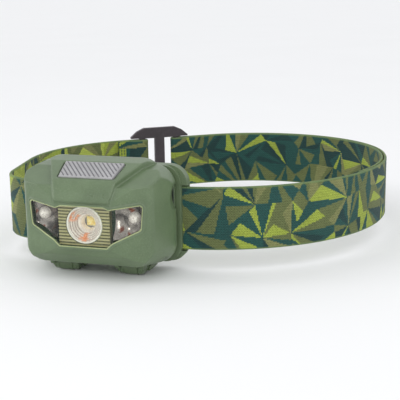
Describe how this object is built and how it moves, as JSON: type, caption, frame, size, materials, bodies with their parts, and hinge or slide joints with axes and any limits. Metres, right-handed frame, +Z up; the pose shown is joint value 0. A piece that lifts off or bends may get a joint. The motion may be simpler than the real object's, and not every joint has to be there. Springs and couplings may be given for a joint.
{
  "type": "headlamp",
  "caption": "Compact headlamp: a plastic lamp body with a main lens and side emitters, tilting on a bracket worn on a patterned elastic head band with a slider.",
  "frame": {"origin": "bottom centre of the whole object's bounding box", "axes": "+Z up as worn, the lamp looks along -Y, +X is the right side as seen by someone facing the lamp"},
  "size_m": [0.157, 0.1658, 0.0447],
  "materials": {
    "shell_green": "satin",
    "bracket_green": "satin",
    "band_fabric": "woven",
    "slider_black": "satin",
    "button_rubber": "knurled",
    "clear_window": "clear",
    "lens_clear": "clear",
    "bezel_olive": "ribbed",
    "reflector_metal": "polished",
    "emitter_yellow": "phosphor",
    "emitter_clear": "clear",
    "board_green": "lacquered",
    "steel": "bright",
    "contact_metal": "plated",
    "switch_black": "satin",
    "seal_rubber": "smooth",
    "cell_wrap": "printed wrap"
  },
  "bodies": {
    "holder": {"bracket": "bracket_green", "headband": "band_fabric", "band_slider": "slider_black"},
    "case": {"rear_case": "bracket_green", "case_seal": "seal_rubber", "hinge_pins": "steel", "contact_plates": "contact_metal", "contact_springs": "contact_metal", "cell_upper": "cell_wrap", "cell_middle": "cell_wrap", "cell_lower": "cell_wrap"},
    "shell": {"front_shell": "shell_green", "window": "clear_window", "lens_bezel": "bezel_olive", "main_lens": "lens_clear", "main_led": "emitter_yellow", "led_star": "board_green", "side_reflector_left": "reflector_metal", "side_reflector_right": "reflector_metal", "side_led_left": "emitter_clear", "side_led_right": "emitter_clear", "circuit_board": "board_green", "board_screws": "steel", "feed_contacts": "contact_metal", "switch_board": "board_green", "push_switch": "switch_black"},
    "button": {"button_cap": "button_rubber", "switch_plunger": "switch_black"}
  },
  "joints": [
    {"name": "tilt", "type": "hinge", "parent": "holder", "child": "case", "pos_m": [-0.02113, -0.06592, 0.0032], "axis": [1, 0, 0], "range_deg": [0, 55]},
    {"name": "open", "type": "hinge", "parent": "case", "child": "shell", "pos_m": [-0.02113, -0.06592, 0.0032], "axis": [1, 0, 0], "range_deg": [0, 60]},
    {"name": "press", "type": "slide", "parent": "shell", "child": "button", "axis": [0, 0.3584, -0.9336], "range_m": [0, 0.0008], "stiffness_N_per_m": 1500}
  ]
}
